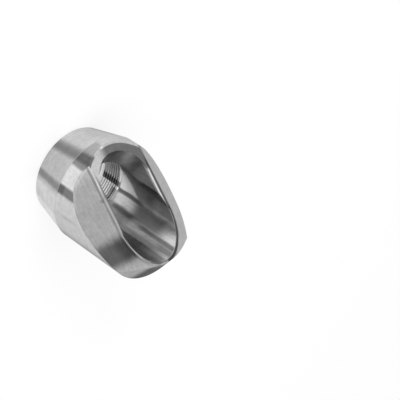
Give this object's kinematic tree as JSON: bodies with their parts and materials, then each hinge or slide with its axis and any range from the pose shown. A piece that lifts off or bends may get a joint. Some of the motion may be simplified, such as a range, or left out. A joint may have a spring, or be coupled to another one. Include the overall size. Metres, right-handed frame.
{
  "type": "elbolet",
  "caption": "Forged steel branch outlet for the back of a pipe elbow: tapered threaded collar end, straight belt, and a slanting saddle mouth with weld bevels meeting at a long tip.",
  "frame": {"origin": "centre of the flat threaded end face, on the outlet axis", "axes": "+Z along the outlet axis, from the threaded end towards the saddle mouth; +X towards the long tip; the part is symmetric about the XZ plane"},
  "size_m": [0.076, 0.076, 0.0944],
  "materials": {
    "machined_steel": "bare machined forged steel, turned and ground"
  },
  "bodies": {
    "root": {"elbolet_body": "machined_steel"}
  },
  "joints": []
}
